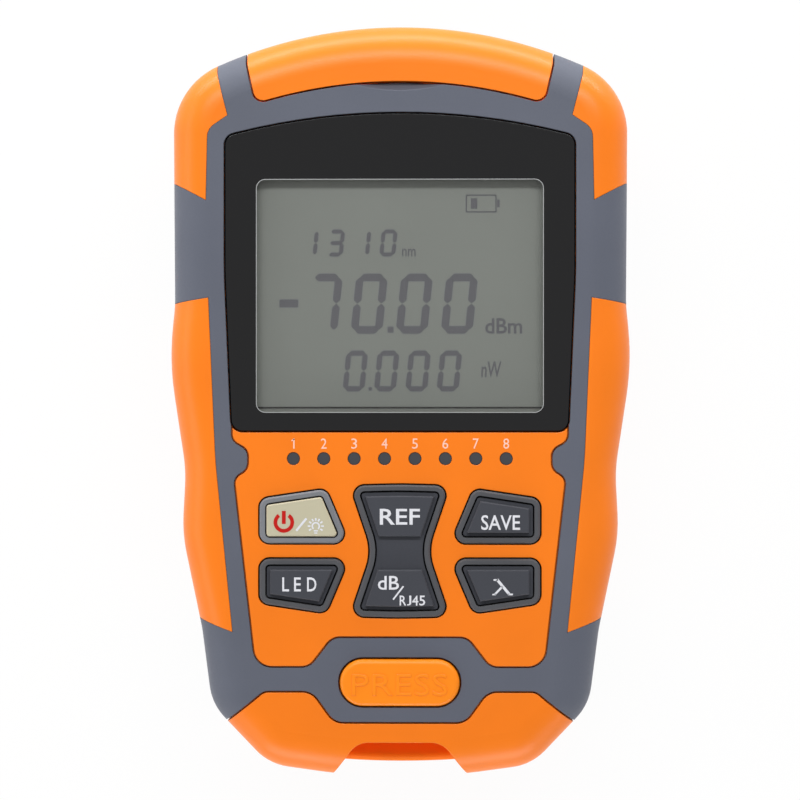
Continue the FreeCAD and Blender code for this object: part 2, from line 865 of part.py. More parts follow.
def make_rocker():
    inside = ring_width + key_gap
    top = thickness + cap_proud
    shoulder = top - shoulder_drop
    foot_top = key_foot_top - rocker_drop
    body = prism(rocker_outline(), foot_top - key_foot_thick, shoulder, inside)
    pads = []
    for row, distance in rocker_pads:
        near, far = sorted((keypad_y + row * distance, keypad_y + row * (rocker_height + 2)))
        band = block(-20, 20, near, far, shoulder - 0.5, top)
        pad = prism(rocker_outline(), shoulder - 0.5, top, inside + shoulder_width).common(band)
        pads.append(bevelled(pad, top, cap_bevel))
    foot = prism(rocker_outline(), foot_top - key_foot_thick, foot_top, ring_width / 2)
    stems = [post(x, y, stem_z, foot_top, stem_radius) for x, y in rocker_stems()]
    return joined([body, foot] + pads + stems)


def dome_places():
    places = [key_centre(corner_key(*place)) for place in corner_keys.values()]
    return places + rocker_stems()


def make_key_domes():
    return Part.makeCompound([post(x, y, board_top, dome_top, dome_radius) for x, y in dome_places()])


def make_light_pipe():
    reach = indicator_pitch * (indicator_count - 1) / 2 + 1.8
    bar = plate(-reach, reach, indicator_y - 1.5, indicator_y + 1.5,
                board_top + led_height + board_clear, inner_top, 0.6)
    posts = [post(x, indicator_y, inner_top - 0.1, thickness - 0.15, indicator_radius)
             for x in indicator_places()]
    return joined([bar] + posts)


def make_indicator_leds():
    return Part.makeCompound([block(x - 0.8, x + 0.8, indicator_y - 0.6, indicator_y + 0.6,
                                    board_top, board_top + led_height) for x in indicator_places()])


# ================================================================ release button
def make_release_button():
    top = thickness + button_proud
    under = inner_top - button_flange
    cap = softened(prism(button_outline(), under, top), top, 0.8)
    flange = prism(button_outline(), under, inner_top - part_gap, -part_gap - 0.8)
    hollow = prism(button_outline(), under - 0.1, top - button_wall, 1.4)
    seat = post(0, button_y, under, top - button_wall + 0.1, spring_radius + 0.6)
    guide = post(0, button_y, under - 1.6, under, spring_radius - spring_wire - 0.3)
    arms = latch_arms(remote_roof + part_gap + button_travel, top - button_wall + 0.1)
    return joined([joined([cap, flange]).cut(hollow), seat, guide] + arms)


def coil(radius, height, turns, wire):
    """A coil spring of square wire about Z, standing on z = 0."""
    helix = Part.makeHelix((height - wire) / turns, height - wire, radius)
    low, high, inner, outer = -wire / 2, wire / 2, radius - wire / 2, radius + wire / 2
    corners = [V(inner, 0, low), V(outer, 0, low), V(outer, 0, high), V(inner, 0, high), V(inner, 0, low)]
    spring = Part.Wire(helix.Edges).makePipeShell([Part.makePolygon(corners)], True, True)
    spring.translate(V(0, 0, wire / 2))
    return spring


def make_button_spring():
    height = inner_top - button_flange - bay_lid_z
    spring = coil(spring_radius - spring_wire / 2, height, spring_turns, spring_wire)
    spring.translate(V(0, button_y, bay_lid_z))
    return spring


# ================================================================ ports
def make_adapter():
    """Screwed metal adapter of the power meter, with its ferrule bore."""
    seat = deck_y(0) + port_boss_out
    inside = deck_y(0) - deck_wall - boss_inner
    barrel = rod_y(0, port_z, inside - adapter_tail, adapter_reach_y, adapter_radius)
    flange = rod_y(0, port_z, seat, seat + flange_thick, adapter_flange)
    nut = rod_y(0, port_z, inside - nut_thick, inside, adapter_flange)
    bore = rod_y(0, port_z, adapter_reach_y - adapter_depth, adapter_reach_y + 1, ferrule_radius)
    return joined([barrel, flange, nut]).cut(bore)


def make_detector():
    """Photodiode can behind the adapter, on a small upright carrier board."""
    front = deck_y(0) - deck_wall - boss_inner - adapter_tail
    back = front - detector_length
    foot = back - detector_base_thick
    board = foot - detector_leg_length
    can = rod_y(0, port_z, back, front, detector_radius)
    base = rod_y(0, port_z, foot, back, detector_base)
    legs = [rod_y(dx * detector_leg_pitch, port_z + dz * detector_leg_pitch, board, foot, detector_leg)
            for dx, dz in ((1, 0), (-1, 0), (0, 1))]
    carrier = block(-carrier_half, carrier_half, board - carrier_thick, board, port_z - carrier_drop, board_z)
    return joined([can, base] + legs + [carrier])


def make_vfl_port():
    """Metal sleeve of the fault-finder laser, with its ferrule bore."""
    seat = deck_y(port_spacing) + side_boss_out
    sleeve = rod_y(-port_spacing, port_z, laser_front(), vfl_reach_y, vfl_radius)
    flange = rod_y(-port_spacing, port_z, seat, seat + vfl_flange_thick, vfl_flange)
    bore = rod_y(-port_spacing, port_z, vfl_reach_y - vfl_depth, vfl_reach_y + 1, ferrule_radius)
    return joined([sleeve, flange]).cut(bore)


def laser_front():
    return deck_y(port_spacing) - deck_wall - sleeve_tail


def make_laser():
    """Laser barrel behind its sleeve, held to the board by a saddle."""
    front = laser_front()
    back = front - laser_length
    barrel = rod_y(-port_spacing, port_z, back, front, laser_radius)
    neck = rod_y(-port_spacing, port_z, back - laser_neck_length, back, laser_neck)
    middle = (front + back) / 2
    saddle = block(-port_spacing - saddle_half, -port_spacing + saddle_half,
                   middle - saddle_half, middle + saddle_half, port_z, board_z)
    return joined([barrel, neck, saddle])


def make_torch_reflector():
    """Conical bowl round the torch's light."""
    seat = deck_y(port_spacing) + side_boss_out
    rim, throat = seat + torch_lip, seat + torch_lip - torch_bowl
    cup = rod_y(port_spacing, port_z, seat - torch_depth, rim, torch_radius)
    bowl = Part.makeCone(torch_throat, torch_radius - torch_wall, torch_bowl,
                         V(port_spacing, throat, port_z), V(0, 1, 0))
    hole = rod_y(port_spacing, port_z, seat - torch_depth - 1, throat + 0.5, torch_throat)
    return cup.cut(joined([bowl, hole]))


def make_torch_led():
    """Domed light behind the bowl, on a small upright carrier."""
    rear = deck_y(port_spacing) + side_boss_out - torch_depth
    tip_y, board = rear + torch_throat + 0.2, rear - torch_throat
    stem = rod_y(port_spacing, port_z, board, tip_y, torch_lens)
    tip = Part.makeSphere(torch_lens, V(port_spacing, tip_y, port_z))
    base = block(port_spacing - torch_base_half, port_spacing + torch_base_half, board - 1.0, board,
                 port_z - torch_base_half, board_z)
    ring = rod_y(port_spacing, port_z, board, rear, torch_radius)
    return joined([stem, tip, base, ring])


# ================================================================ board, jack and remote
def make_main_board():
    y0, y1 = keypad_y - rocker_height - 3.0, deck_y(board_half) - deck_wall - 0.8
    holes = [post(x, y, board_z - 1, board_top + 1, board_screw_radius + sit_gap)
             for x, y in board_screw_places()]
    return plate(-board_half, board_half, y0, y1, board_z, board_top, 1.0).cut(joined(holes))


def jack(mouth_y, inward, roof_z):
    """A cable jack whose mouth is at mouth_y; inward is the direction into it along Y."""
    y0, y1 = sorted((mouth_y, mouth_y + inward * jack_length))
    body = block(-jack_half, jack_half, y0, y1, roof_z - jack_height, roof_z)
    floor = roof_z - jack_height + socket_sill + key_slot_height
    s0, s1 = sorted((mouth_y - inward, mouth_y + inward * socket_depth))
    socket = block(-socket_half, socket_half, s0, s1, floor, floor + socket_height)
    slot = block(-key_slot_half, key_slot_half, s0, s1, floor - key_slot_height, floor)
    roof = floor + socket_height
    contacts = []
    for i in range(pin_count):
        x = (i - (pin_count - 1) / 2) * pin_pitch
        contacts.append(block(x - pin_half, x + pin_half, y0 + pin_inset, y1 - pin_inset,
                              roof - pin_drop, roof + 0.1))
    return joined([body.cut(joined([socket, slot]))] + contacts)


def make_main_jack():
    return jack(bay_inner_y + sit_gap, 1, board_z)


def remote_plan():
    apex, corner_y = arch(-remote_end_y, remote_end_radius, remote_half * 0.9, remote_half)
    return mirrored([(remote_half, remote_inner_y, 0.8), (remote_half, -corner_y, 2.0),
                     (0.0, -apex[1], apex[2])])


def remote_half_case(z0, z1, rounded_z):
    """One half of the remote's case, closed and rounded at rounded_z and open at the other end."""
    outer = softened(prism(remote_plan(), z0, z1), rounded_z, remote_round)
    inner = prism(remote_plan(), z0 - 1, z1 + 1, remote_wall)
    ceiling = z0 + remote_wall if rounded_z == z0 else z1 - remote_wall
    low, high = (ceiling, z1 + 1) if rounded_z == z0 else (z0 - 1, ceiling)
    return outer.cut(inner.common(half_space(low, high)))


def remote_split():
    return (remote_floor + remote_roof) / 2


def remote_mouth():
    """Opening in the remote's inner end, in front of its jack."""
    return block(-jack_half - 0.05, jack_half + 0.05, remote_inner_y - remote_wall - 0.5, remote_inner_y + 1,
                 remote_floor + remote_wall, remote_roof - remote_wall)


def make_remote_case():
    case = remote_half_case(remote_floor, remote_split(), remote_floor)
    rails = [block(s * rail_x - rail_half, s * rail_x + rail_half, remote_inner_y - rail_far,
                   remote_inner_y - rail_near, remote_floor + remote_wall / 2,
                   remote_split() - remote_board_down) for s in (-1, 1)]
    return joined([case] + rails).cut(remote_mouth())


def make_remote_cover():
    return remote_half_case(remote_split(), remote_roof, remote_roof).cut(remote_mouth())


def make_remote_jack():
    return jack(remote_inner_y, -1, remote_roof - remote_wall)


def make_remote_board():
    return plate(-remote_board_half, remote_board_half, remote_end_y + remote_wall + remote_round,
                 remote_inner_y - jack_length - 0.2,
                 remote_split() - remote_board_down, remote_split() + remote_board_up, 0.6)


# ================================================================ batteries
def make_cell(index):
    """A battery cell across the body; the direction alternates."""
    y = cells_y + (index - (cell_count - 1) / 2) * cell_pitch
    z = cell_z
    turned = 1 if index % 2 == 0 else -1
    x0 = -cell_length / 2
    can = Part.makeCylinder(cell_radius, cell_length - cell_nub_length, V(x0, 0, 0), V(1, 0, 0))
    can = can.makeChamfer(cell_bevel, [e for e in can.Edges if isinstance(e.Curve, Part.Circle)])
    nub = rod_x(0.0, 0.0, x0 + cell_length - cell_nub_length - 0.2, x0 + cell_length, cell_nub)
    cell = joined([can, nub])
    if turned < 0:
        cell.rotate(V(0, 0, 0), V(0, 0, 1), 180)
    cell.translate(V(0, y, z))
    return cell


def contact_places():
    """(y, side of the spring) for each cell."""
    for index in range(cell_count):
        y = cells_y + (index - (cell_count - 1) / 2) * cell_pitch
        yield y, (-1 if index % 2 == 0 else 1)


def make_contact_plates():
    z = cell_z
    plates = []
    for y, side in contact_places():
        for end in (-1, 1):
            x = end * bay_half
            x0, x1 = sorted((x, x - end * contact_thick))
            leaf = block(x0, x1, y - contact_half_width, y + contact_half_width,
                         z - contact_half_height, z + contact_half_height)
            if end != side:
                tip = end * cell_length / 2
                a, b = sorted((tip, x - end * contact_thick))
                leaf = joined([leaf, rod_x(y, z, a, b, contact_button)])
            plates.append(leaf)
    return Part.makeCompound(plates)


def make_contact_springs():
    """A bent leaf at the negative end of each cell."""
    leaves = []
    for y, side in contact_places():
        back, tip = side * (bay_half - contact_thick), side * cell_length / 2
        bent = tip + side * contact_thick
        inner_foot, inside = leaf_foot - leaf_thin, tip + 2 * side * contact_thick
        profile = [V(back, 0, -leaf_foot), V(bent, 0, -leaf_tip), V(bent, 0, leaf_tip), V(back, 0, leaf_foot),
                   V(back, 0, inner_foot), V(inside, 0, 0), V(back, 0, -inner_foot)]
        face = Part.Face(Part.makePolygon(profile + profile[:1]))
        leaf = face.extrude(V(0, contact_leaf_width, 0))
        leaf.translate(V(0, y - contact_leaf_width / 2, cell_z))
        leaves.append(leaf)
    return Part.makeCompound(leaves)


def door_tongue_slots():
    """Slots in the rim for the door's two tongues, with room for their swing."""
    end_y, half = door_plan()[3], tongue_half + part_gap + 0.1
    return joined([block(s * tongue_x - half, s * tongue_x + half, end_y - 1.7, end_y + tongue_reach + 0.7,
                         door_recess + 0.5, door_seat_z + 0.7) for s in (-1, 1)])


def make_battery_door():
    x0, x1, y0, y1 = door_plan()
    z0, z1 = door_recess, door_recess + door_thick
    door = plate(x0, x1, y0, y1, z0, z1, door_round)
    pad_y, pad_top = y0 + door_rim, z0 + nail_pad_depth
    door = door.cut(plate(-nail_pad_half, nail_pad_half, pad_y, pad_y + nail_pad_length, z0 - 1, pad_top,
                          nail_pad_round))
    half = nail_pad_half - nail_pad_round
    ribs = []
    for i in range(rib_count):
        y = pad_y + rib_width + i * rib_pitch
        ribs.append(block(-half, half, y, y + rib_width, z0, pad_top))
    tongues = [block(s * tongue_x - tongue_half, s * tongue_x + tongue_half, y1 - 0.5, y1 + tongue_reach,
                     z1 - tongue_thick, z1) for s in (-1, 1)]
    return joined([door] + ribs + tongues)


# ================================================================ screws
def make_housing_screws():
    screws = []
    for x, y in screw_places():
        head = post(x, y, screw_seat_z - screw_head_thick, screw_seat_z, screw_head_radius)
        shank = post(x, y, screw_seat_z, inner_top - screw_end - screw_short, screw_radius)
        screws.append(joined([head, shank]))
    return Part.makeCompound(screws)


def make_board_screws():
    screws = []
    for x, y in board_screw_places():
        head = post(x, y, board_z - board_screw_head[1], board_z, board_screw_head[0])
        end = inner_top - board_screw_end - screw_short
        screws.append(joined([head, post(x, y, board_z, end, board_screw_radius)]))
    return Part.makeCompound(screws)


# ================================================================ the whole meter
def make_parts():
    islands_in = skin_windows(seam / 2, -1, thickness + 1)
    islands_out = skin_windows(-seam / 2, -1, thickness + 1)
    parts = {
        "front_shell": make_front_shell(islands_in),
        "front_grip_skin": make_front_skin(islands_out),
        "back_shell": make_back_shell(islands_in),
        "back_grip_skin": make_back_skin(islands_out),
        "top_cover": make_top_cover(),
        "cover_hinge_pin": make_hinge_pin(),
        "display_window": make_display_window(),
        "window_tape": make_lens_tape(),
        "lcd_gasket": make_lcd_gasket(),
        "lcd_frame": make_lcd_frame(),
        "lcd_glass": make_lcd_glass(),
        "lcd_backlight": make_lcd_backlight(),
        "keypad_mat": make_keypad_mat(),
        "key_ref_db": make_rocker(),
        "key_domes": make_key_domes(),
        "light_pipe_bar": make_light_pipe(),
        "indicator_leds": make_indicator_leds(),
        "release_button": make_release_button(),
        "button_spring": make_button_spring(),
        "power_meter_port": make_adapter(),
        "photodetector": make_detector(),
        "laser_port": make_vfl_port(),
        "laser_module": make_laser(),
        "torch_reflector": make_torch_reflector(),
        "torch_led": make_torch_led(),
        "main_board": make_main_board(),
        "main_jack": make_main_jack(),
        "remote_case": make_remote_case(),
        "remote_cover": make_remote_cover(),
        "remote_jack": make_remote_jack(),
        "remote_board": make_remote_board(),
        "contact_plates": make_contact_plates(),
        "contact_springs": make_contact_springs(),
        "battery_door": make_battery_door(),
        "housing_screws": make_housing_screws(),
        "board_screws": make_board_screws(),
    }
    for name, place in corner_keys.items():
        parts[name] = make_corner_key(*place)
    for index in range(cell_count):
        parts["battery_cell_%d" % (index + 1)] = make_cell(index)
    return parts


os.makedirs("parts", exist_ok=True)
for node, shape in make_parts().items():
    shape.exportStep("parts/%s.step" % node)
    print(node, "valid" if shape.isValid() else "INVALID", len(shape.Solids), round(shape.Volume, 1))
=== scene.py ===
import math

import bmesh
import bpy
from mathutils import Matrix, Vector


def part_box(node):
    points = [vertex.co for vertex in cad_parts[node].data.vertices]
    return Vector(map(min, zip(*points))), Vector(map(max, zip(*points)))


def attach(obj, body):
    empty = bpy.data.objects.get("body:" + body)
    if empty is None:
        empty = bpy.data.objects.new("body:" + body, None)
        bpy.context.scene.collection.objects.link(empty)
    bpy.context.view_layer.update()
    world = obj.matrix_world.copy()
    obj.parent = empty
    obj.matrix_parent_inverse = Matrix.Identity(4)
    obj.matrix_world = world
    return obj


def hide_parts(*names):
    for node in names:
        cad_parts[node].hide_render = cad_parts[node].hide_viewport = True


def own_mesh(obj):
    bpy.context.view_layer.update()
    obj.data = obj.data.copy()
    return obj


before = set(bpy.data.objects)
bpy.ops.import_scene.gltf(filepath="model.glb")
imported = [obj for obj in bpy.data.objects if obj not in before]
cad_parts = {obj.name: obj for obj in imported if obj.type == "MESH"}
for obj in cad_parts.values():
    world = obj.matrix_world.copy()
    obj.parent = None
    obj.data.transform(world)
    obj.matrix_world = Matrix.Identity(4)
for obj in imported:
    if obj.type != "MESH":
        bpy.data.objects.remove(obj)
bpy.context.view_layer.update()

# The meter lies on its back: X to the right, Y towards the port end, Z out of the display.
# Sizes are in millimetres and turned to metres where a mesh is finished. A box is left, right, foot, head.
MM = 0.001

# ---------------------------------------------------------------- the frame's levels
FACE = 29.0                                        # front face of the casing
CAP_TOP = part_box("key_save")[1].z / MM
ROCKER_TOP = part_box("key_ref_db")[1].z / MM
BUTTON_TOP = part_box("release_button")[1].z / MM
LENS_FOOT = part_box("display_window")[0].z / MM
LENS_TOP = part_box("display_window")[1].z / MM
GLASS_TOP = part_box("lcd_glass")[1].z / MM

# ---------------------------------------------------------------- display
WINDOW = (-23.2, 23.2, -1.9, 35.8)                 # box of the clear opening
WINDOW_ROUND = 1.5
PANE_GAP = 0.01                                    # between the clear middle and the border round it
EDGE_LINE = 0.11                                   # width of the painted highlight along the clear middle's edge
EDGE_LINE_DEPTH, EDGE_LINE_PROUD = 0.1, 0.01       # below and above the window's face
FILM_MARGIN = 0.5                                  # how far the film reaches past the opening
FILM_ROUND = 0.3
FILM_FOOT = -0.95                                  # where the reflecting film ends
FILM_TOP = LENS_FOOT - 0.2
STRIP_GAP, STRIP_DROP = 0.25, 0.4                  # of the strip below the film
DYE_THICK = 0.04
DYE_SINK = 0.01                                    # how deep the segments sit in the film
SHADOW_SPREAD = 0.12                                # width of the painted shadow round the segments
SLANT = 0.1                                        # lean of the display's numerals
SEGMENT_GAP = 0.06                                 # between two segments, as a share of their stroke
POINTED_END = 0.42                                 # cut off a segment's corners, as a share of its stroke
LIT = {"0": "abcdef", "1": "bc", "3": "abcdg", "7": "abc"}
NUMERAL_ROWS = (                                   # numerals, left, foot, pitch, width, height, stroke
    ("1310", -16.1, 23.4, 4.25, 2.55, 4.35, 0.62),     # wavelength
    ("7000", -15.3, 10.9, 7.3, 5.1, 9.7, 1.2),         # power in decibels
    ("0000", -9.3, 1.55, 5.08, 3.5, 6.6, 0.82),        # power in nanowatts
)
DASHES = (                                         # left, right, middle, stroke
    (-19.5, -16.5, 15.8, 1.25),                        # minus sign
    (-1.98, -1.05, 11.55, 0.95),                       # decimal points
    (-5.05, -4.55, 1.95, 0.5),
)
BATTERY_CASE = (10.75, 15.55, 30.6, 33.3)          # box of the battery sign
BATTERY_BARS = (                                   # middle, foot, head, stroke
    (15.95, 31.35, 32.6, 0.4),                         # its cap
    (12.0, 31.1, 32.8, 1.05),                          # its charge
)
BATTERY_STROKE = 0.22
UNITS = (                                          # piece, word, box, weight, lean
    ("lcd_nanometres", "nm", (0.35, 2.55, 23.4, 24.65), 0.01, 0.0),
    ("lcd_decibels", "dBm", (13.8, 19.8, 10.9, 13.4), 0.018, 0.0),
    ("lcd_nanowatts", "nW", (13.15, 16.45, 3.8, 6.4), 0.014, 0.08),
)

# ---------------------------------------------------------------- keypad, printed and moulded legends
POWER_RING = (-8.5, -23.7)                         # right-hand side and foot of the power key's ring
INK = 0.03                                         # thickness of a printed legend
INK_SINK = 0.005                                   # how deep it sits in the face under it
POWER_SIGN = (-18.65, -19.55)                      # middle of its ring
POWER_STEM = (-0.25, 1.85, 0.62)                   # foot and head from that middle, stroke
POWER_SLASH = ((-16.65, -20.9), (-15.0, -18.9), 0.36)      # two ends, stroke
LAMP_SIGN = (-13.5, -20.15)                        # middle of its bulb
LAMP_SOCKET = ((0.34, -0.75, 0.22), (0.26, -1.1, 0.2))     # half width, height from that middle, stroke
LAMP_RAYS = (-32, 0, 34, 63, 90, 117, 146, 180, 212)       # degrees
LAMP_RAY = (0.86, 1.3, 0.26)                       # from and to, out of that middle, stroke
WAVELENGTH_STROKES = (                             # two ends, stroke
    ((15.1, -28.78), (15.8, -28.78), 0.28),
    ((15.65, -28.7), (17.6, -31.05), 0.44),
    ((16.5, -29.85), (15.3, -31.1), 0.34),
    ((14.9, -31.12), (15.5, -31.12), 0.24),
    ((17.4, -31.1), (18.2, -31.1), 0.26),
)
LEGENDS = (                                        # piece, words, box, body, weight
    ("save_legend", "SAVE", (13.1, 19.35, -20.75, -18.35), "save_key", 0.01),
    ("led_legend_L", "L", (-18.9, -17.8, -30.65, -28.4), "led_key", 0.01),
    ("led_legend_E", "E", (-17.0, -15.9, -30.65, -28.4), "led_key", 0.01),
    ("led_legend_D", "D", (-14.9, -13.4, -30.65, -28.4), "led_key", 0.01),
    ("ref_legend", "REF", (-3.2, 3.25, -19.9, -17.35), "ref_db_key", 0.012),
    ("db_legend", "dB", (-3.5, -0.1, -30.35, -28.15), "ref_db_key", 0.01),
    ("cable_legend_R", "R", (0.0, 1.05, -32.9, -31.3), "ref_db_key", 0.01),
    ("cable_legend_J", "J", (1.17, 1.87, -32.9, -31.3), "ref_db_key", 0.01),
    ("cable_legend_4", "4", (2.0, 3.0, -32.9, -31.3), "ref_db_key", 0.01),
    ("cable_legend_5", "5", (3.14, 4.1, -32.9, -31.3), "ref_db_key", 0.01),
)
SLASH = ((-1.05, -31.95), (0.6, -29.8), 0.26)      # two ends, stroke
INDICATORS = 8
INDICATOR_PITCH = 4.9
NUMERAL_FOOT, NUMERAL_HEAD, NUMERAL_HALF = -7.7, -6.05, 0.47
ONE_SHIFT, ONE_STROKE = 0.08, 0.21                 # numeral 1: its stem, right of the hole's middle
ONE_FLAG = ((-0.38, -0.38), (0.08, -0.1), 0.17)    # its flag: two ends from the stem's head, stroke
BUTTON_WORD = (-7.7, 7.7, -47.45, -43.95)          # box of the word moulded on the release button
WORD_SINK, WORD_THICK = 0.02, 0.12

# ---------------------------------------------------------------- remote, release button, screws and thread
REMOTE_SHADE_FADE = (-59.8, -57.6)                       # from its end face to where the painted shade of its recess is full
HEAD_RADIUS = 2.2                                  # of a housing screw
LOWER_SCREW = (18.6, -51.5)                        # the right-hand one at the foot
CROSS_REACH, CROSS_WIDTH, CROSS_DEPTH = 1.3, 0.55, 0.9     # half length, width and depth of a slot
THREAD_RADIUS, THREAD_PITCH, THREAD_TURNS = 4.4, 0.75, 3   # of the power meter's adapter
THREAD_INSET = 0.8                                 # of the first turn from the mouth, in pitches
THREAD_PROFILE = ((-0.05, -0.24), (0.1, 0.0), (-0.05, 0.24))   # out from the barrel, and along it
THREAD_STEPS = 48

# ---------------------------------------------------------------- mesh making
CORNER_STEPS, ARC_STEPS, LETTER_STEPS = 8, 28, 3
SMOOTH_BELOW = 30.0                                # degrees below which an edge is shaded smooth
FLAT_BELOW = 0.5                                   # degrees below which two faces are made one
MERGE, LETTER_MERGE = 1e-4, 1e-5                   # distances below which two vertices are made one
BEYOND = 1.0                                       # how far a cutting tool reaches past what it cuts


# ================================================================ colours and materials
NOISE_LOW, NOISE_HIGH = 0.3, 0.7                   # most values of a noise texture lie between these
GLOSS_SPREAD = 0.1                                 # how much roughness varies over the grain
PATCH_DETAIL, GRAIN_DETAIL = 3.0, 2.0
BEVEL_SAMPLES = 6


def linear(colour):
    """Linear RGBA of an sRGB hex colour."""
    parts = [int(colour[i:i + 2], 16) / 255 for i in (0, 2, 4)]
    return [p / 12.92 if p <= 0.04045 else ((p + 0.055) / 1.055) ** 2.4 for p in parts] + [1.0]


def add(tree, kind, values=None, links=None, **settings):
    """A node with its settings, the values of its sockets and the links into them."""
    node = tree.nodes.new("ShaderNode" + kind)
    for name, value in settings.items():
        setattr(node, name, value)
    for name, value in (values or {}).items():
        node.inputs[name].default_value = value
    for name, source in (links or {}).items():
        tree.links.new(source, node.inputs[name])
    return node


def finish(name, colour, roughness, grain=0.3, depth=0.0, edge=0.15, mottle=0.03, patch=14.0, **shader):
    """A material with a grain, a faint unevenness of tone and softened edges.

    grain and depth are the width and height of its texture, edge the radius of its sharp edges
    and patch the width of the uneven places, all in millimetres. The grain of a moulded, drawn or
    printed surface is really 0.02 to 0.1 mm. It is drawn at 0.15 to 0.4 mm, as coarse as it needs to show.
    """
    material = bpy.data.materials.new(name)
    material.use_nodes = True
    tree = material.node_tree
    surface = tree.nodes["Principled BSDF"]
    for socket, value in shader.items():
        surface.inputs[socket.replace("_", " ")].default_value = value
    place = add(tree, "TexCoord").outputs["Object"]
    patches = add(tree, "TexNoise", {"Scale": 1 / (patch * MM), "Detail": PATCH_DETAIL}, {"Vector": place})
    tone = add(tree, "MapRange", {"From Min": NOISE_LOW, "From Max": NOISE_HIGH,
                                  "To Min": 1 - mottle, "To Max": 1 + mottle}, {"Value": patches.outputs[0]})
    shade = add(tree, "HueSaturation", {"Color": linear(colour)}, {"Value": tone.outputs[0]})
    tree.links.new(shade.outputs[0], surface.inputs["Base Color"])
    texture = add(tree, "TexNoise", {"Scale": 1 / (grain * MM), "Detail": GRAIN_DETAIL}, {"Vector": place})
    gloss = add(tree, "MapRange", {"From Min": NOISE_LOW, "From Max": NOISE_HIGH,
                                   "To Min": roughness * (1 - GLOSS_SPREAD),
                                   "To Max": min(roughness * (1 + GLOSS_SPREAD), 1.0)},
                {"Value": texture.outputs[0]})
    tree.links.new(gloss.outputs[0], surface.inputs["Roughness"])
    rounded = add(tree, "Bevel", {"Radius": edge * MM}, samples=BEVEL_SAMPLES)
    relief = add(tree, "Bump", {"Strength": 1.0, "Distance": depth * MM},
                 {"Height": texture.outputs[0], "Normal": rounded.outputs[0]})
    tree.links.new(relief.outputs[0], surface.inputs["Normal"])
    return material


def second_colour(material, colour, where):
    """A second colour, in the share that where(tree, x, y) gives."""
    tree = material.node_tree
    shade = next(node for node in tree.nodes if node.bl_idname == "ShaderNodeHueSaturation")
    place = add(tree, "SeparateXYZ", None, {0: tree.nodes["Texture Coordinate"].outputs["Object"]})
    share = where(tree, place.outputs[0], place.outputs[1])
    plain = shade.inputs["Color"].default_value[:]
    # On a colour mix, the inputs 6 and 7 are the two colours and output 2 is what they give.
    choice = add(tree, "Mix", {6: plain, 7: linear(colour)}, {0: share.outputs[0]}, data_type="RGBA")
    tree.links.new(choice.outputs[2], shade.inputs["Color"])


def power_ring(tree, x, y):
    """The keypad's ring round the power key: left of x and above y."""
    leftwards = add(tree, "Math", {1: POWER_RING[0] * MM}, {0: x}, operation="LESS_THAN")
    upwards = add(tree, "Math", {1: POWER_RING[1] * MM}, {0: y}, operation="GREATER_THAN")
    return add(tree, "Math", None, {0: leftwards.outputs[0], 1: upwards.outputs[0]}, operation="MULTIPLY")


def remote_end_unshaded(tree, x, y):
    """The remote's end face and the rounding above it, free of the painted shade, which comes in gradually
    inwards.
    """
    return add(tree, "MapRange", {"From Min": REMOTE_SHADE_FADE[1] * MM, "From Max": REMOTE_SHADE_FADE[0] * MM},
               {"Value": y})


# Injection-moulded ABS from a spark-eroded tool: satin, with a fine even grain and a soft bright rim.
SHELL_ORANGE = "f27a0c"
orange_abs = finish("orange_abs_moulded_satin", SHELL_ORANGE, 0.35, grain=0.4, depth=0.006, edge=0.2,
                    Specular_IOR_Level=0.3)
# The release button is the same ABS in a lighter orange.
button_abs = finish("orange_abs_button", "fa890c", 0.35, grain=0.4, depth=0.006, edge=0.2,
                    Specular_IOR_Level=0.3)
# The remote's case is the same ABS, duller, and painted a deeper red-orange as painted shade of its recess,
# which fades into the shells' orange only at its end face.
remote_abs_painted_shade = finish("orange_abs_remote_case_painted_shade", "ff5e00", 0.45, grain=0.4, depth=0.006, edge=0.2,
                    Specular_IOR_Level=0.08)
# Painted shade: the deeper red-orange inwards, the shells' orange at the end face.
second_colour(remote_abs_painted_shade, SHELL_ORANGE, remote_end_unshaded)
# Thermoplastic elastomer moulded over the shells: dry and matt, and paler where it is seen along its surface.
grey_elastomer = finish("grey_elastomer_overmould", "585c68", 0.62, grain=0.35, depth=0.008, edge=0.2,
                        mottle=0.04, Specular_IOR_Level=0.3, Sheen_Weight=0.1, Sheen_Roughness=0.4)
# Compression-moulded silicone keypad: matt, with a slight bloom, and its ring round the power key lighter.
ring_silicone = finish("grey_silicone_ring", "48494d", 0.6, grain=0.3, depth=0.006, edge=0.12, mottle=0.03,
                       Specular_IOR_Level=0.3, Sheen_Weight=0.1)
second_colour(ring_silicone, "777a80", power_ring)
# Compression-moulded silicone caps: darker than their rings, and as matt.
cap_silicone = finish("dark_silicone_cap", "36383f", 0.6, grain=0.3, depth=0.006, edge=0.12, mottle=0.04,
                      Specular_IOR_Level=0.3, Sheen_Weight=0.05)
# Compression-moulded silicone without pigment: milky beige.
pale_silicone = finish("translucent_silicone_cap", "bab49a", 0.55, grain=0.3, depth=0.005, edge=0.12,
                       mottle=0.02)
# Cast acrylic sheet, screen-printed black on its back: deep and glossy, and a little uneven in tone.
black_acrylic = finish("acrylic_sheet_printed_black", "060608", 0.12, grain=2.0, depth=0.0, edge=0.1,
                       mottle=0.1, patch=30.0, Specular_IOR_Level=0.28)
# The same sheet where it isn't printed: clear, with only a faint shine over the display.
clear_acrylic = finish("acrylic_sheet_clear", "6a6b68", 0.06, grain=2.0, depth=0.0, edge=0.05, mottle=0.0,
                       Alpha=0.06)
# A painted highlight: the light that the cut edge of the clear middle catches, as a thin pale line.
edge_highlight_acrylic = finish("acrylic_edge_painted_highlight", "a6a8a8", 0.3, grain=0.4, depth=0.0, edge=0.02)
